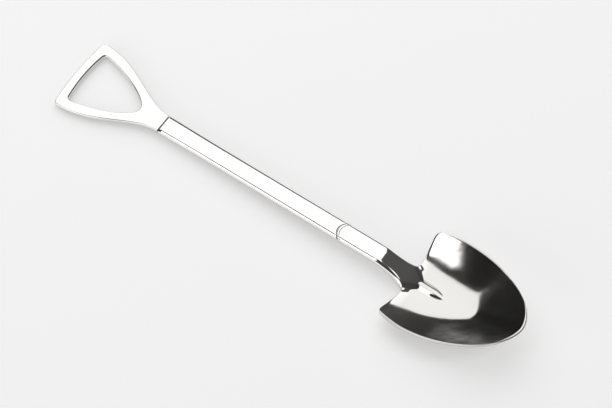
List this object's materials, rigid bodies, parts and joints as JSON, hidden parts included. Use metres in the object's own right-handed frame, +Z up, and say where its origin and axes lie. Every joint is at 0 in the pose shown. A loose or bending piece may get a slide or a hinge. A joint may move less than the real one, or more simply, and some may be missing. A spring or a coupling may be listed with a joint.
{
  "type": "teaspoon",
  "caption": "Polished steel teaspoon shaped like a garden shovel: an open finger grip, a straight flat-topped shaft, and a socket that dips to a dished, pointed blade for the spoonful.",
  "frame": {"origin": "Middle of the spoon's outline on the table that it lies on, hollow side up", "axes": "+X runs along the spoon from the grip to the blade's tip, +Y to the left seen from the grip, +Z up from the table"},
  "size_m": [0.1522, 0.0322, 0.0136],
  "materials": {
    "polished_steel": "mirror polished stainless steel",
    "dowel_steel": "drawn stainless wire, plain"
  },
  "bodies": {
    "root": {"grip": "polished_steel", "shaft": "polished_steel", "blade": "polished_steel", "grip_dowel": "dowel_steel", "socket_dowel": "dowel_steel"}
  },
  "joints": []
}
